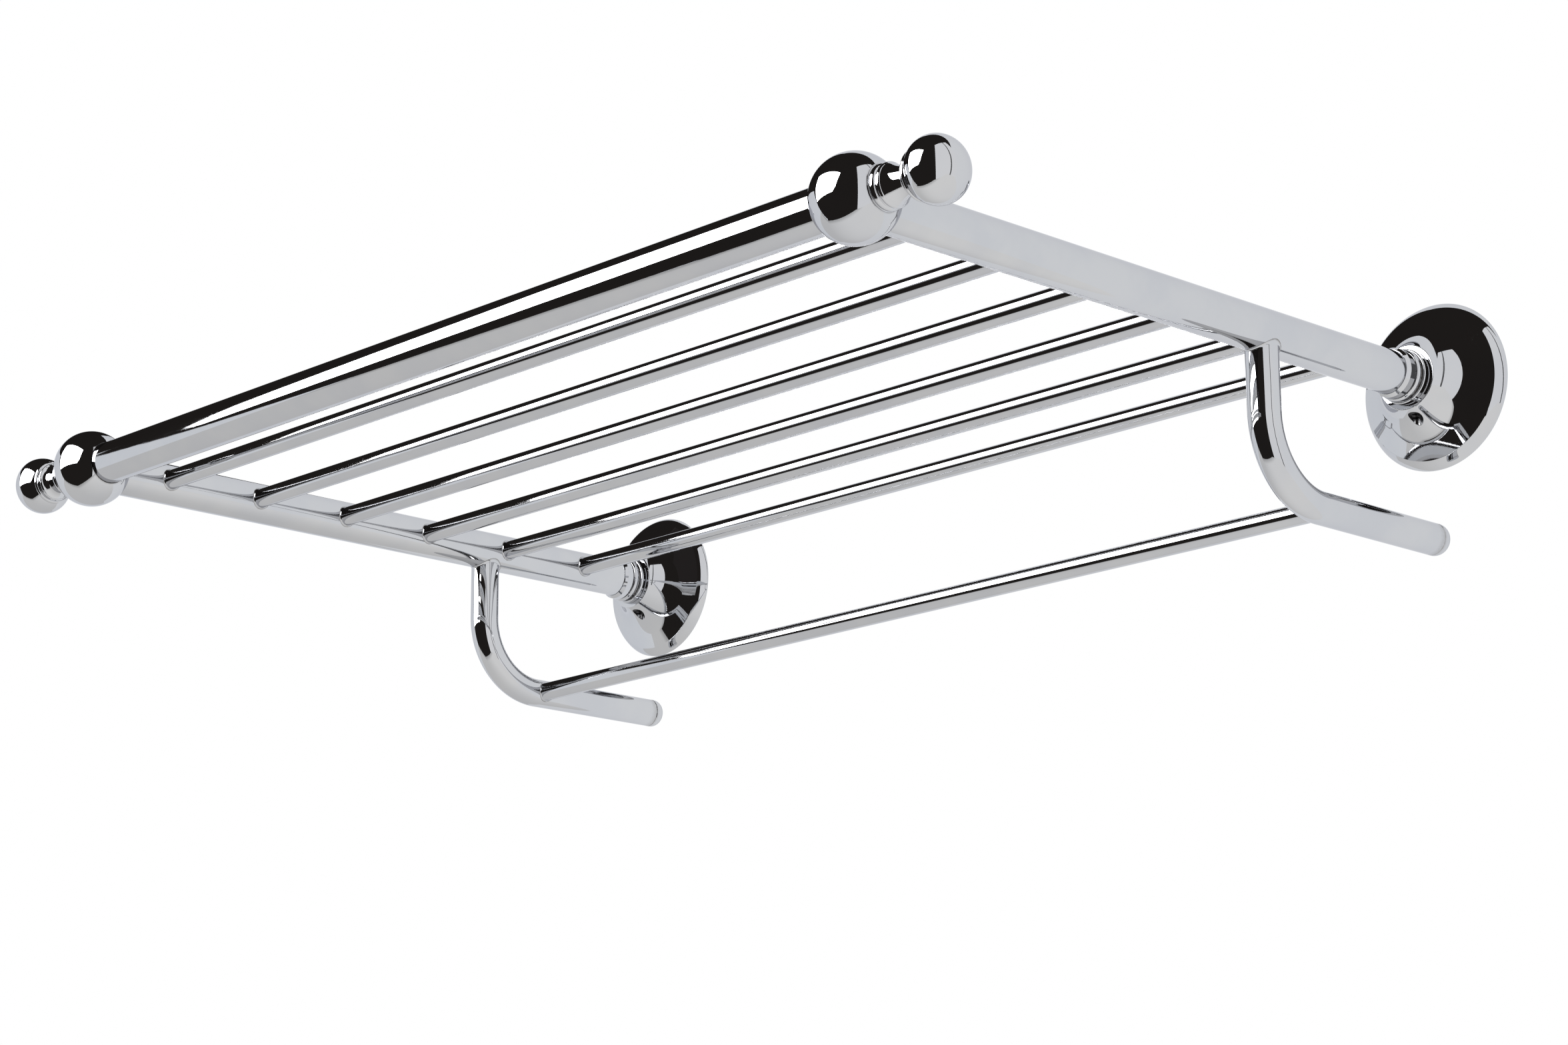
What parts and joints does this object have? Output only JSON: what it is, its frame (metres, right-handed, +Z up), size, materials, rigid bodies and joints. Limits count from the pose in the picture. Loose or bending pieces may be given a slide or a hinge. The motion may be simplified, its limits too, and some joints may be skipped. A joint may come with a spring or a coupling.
{
  "type": "towel rack",
  "caption": "Wall-mounted towel shelf of thin rods between side arms with ball finials, and J-shaped hooks that carry a lower towel rail.",
  "frame": {"origin": "on the wall plane, midway between the flanges, at the height of the arms' axes; it is the centre of the pattern of wall screw holes", "axes": "+X along the rails, +Z up, +Y into the wall; the rack stands out from the wall along -Y"},
  "size_m": [0.606, 0.3715, 0.1129],
  "materials": {
    "arm_tube": "bright polished chrome plate on drawn brass tube",
    "rail_tube": "bright polished chrome plate on drawn brass tube",
    "rod": "bright polished chrome plate on thin brass tube",
    "hook_tube": "bright polished chrome plate on bent brass tube",
    "ball": "mirror polished chrome plate on turned brass",
    "turned": "polished chrome plate on turned brass",
    "flange": "polished chrome plate on cast brass",
    "steel": "plain threaded steel, hidden",
    "bare_brass": "bare machined brass, hidden",
    "plate": "zinc plated steel, hidden behind the flange",
    "grub_screw": "stainless grub screw, recessed"
  },
  "bodies": {
    "root": {"arm_left": "arm_tube", "arm_right": "arm_tube", "front_rail": "rail_tube", "corner_ball_left": "ball", "corner_ball_right": "ball", "finial_neck_left": "turned", "finial_neck_right": "turned", "finial_ball_left": "ball", "finial_ball_right": "ball", "finial_tie_rod_left": "steel", "finial_tie_rod_right": "steel", "rail_insert_left": "bare_brass", "rail_insert_right": "bare_brass", "arm_insert_left": "bare_brass", "arm_insert_right": "bare_brass", "arm_stud_left": "steel", "arm_stud_right": "steel", "shelf_rod_1": "rod", "shelf_rod_2": "rod", "shelf_rod_3": "rod", "shelf_rod_4": "rod", "shelf_rod_5": "rod", "shelf_rod_6": "rod", "hook_left": "hook_tube", "hook_right": "hook_tube", "hook_end_cap_left": "hook_tube", "hook_end_cap_right": "hook_tube", "lower_rail": "rod", "arm_ferrule_left": "turned", "arm_ferrule_right": "turned", "wall_flange_left": "flange", "wall_flange_right": "flange", "wall_plate_left": "plate", "wall_plate_right": "plate", "flange_grub_screws": "grub_screw"}
  },
  "joints": []
}
